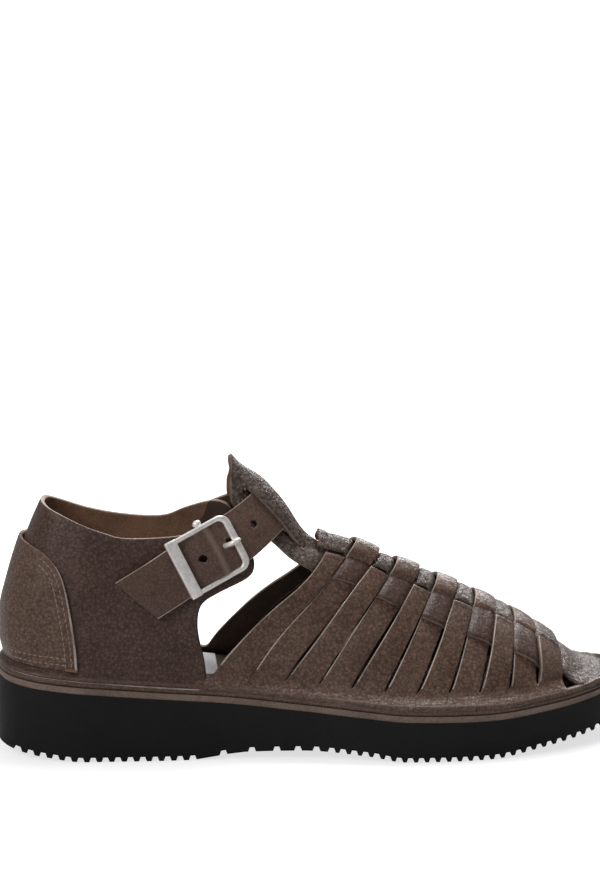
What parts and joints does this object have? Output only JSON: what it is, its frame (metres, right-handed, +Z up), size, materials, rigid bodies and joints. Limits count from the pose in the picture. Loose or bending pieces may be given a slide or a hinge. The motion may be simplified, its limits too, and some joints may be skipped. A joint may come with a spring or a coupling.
{
  "type": "huarache sandal",
  "caption": "Fisherman-style leather huarache with a woven vamp, a closed heel, open shanks, a tongue, a buckled ankle strap and a black wedge sole.",
  "frame": {"origin": "on the ground, under the middle of the shoe's bounding box", "axes": "+X to the toe, +Y to the medial side, +Z up; the lateral side faces -Y"},
  "size_m": [0.29, 0.0979, 0.1346],
  "materials": {
    "black_rubber": "matte black lightweight rubber",
    "edge_leather": "cut and waxed leather edge",
    "lining_leather": "brown suede lining and sock",
    "upper_leather": "pebbled dark brown leather, soft sheen",
    "antique_silver": "antique silver plate, bare of any marking"
  },
  "bodies": {
    "root": {"outsole": "black_rubber", "midsole": "edge_leather", "welt": "upper_leather", "insole": "lining_leather", "upper": "upper_leather", "heel_counter": "upper_leather", "tongue": "upper_leather", "ankle_strap": "upper_leather", "buckle_frame": "antique_silver", "buckle_prong": "antique_silver"}
  },
  "joints": []
}
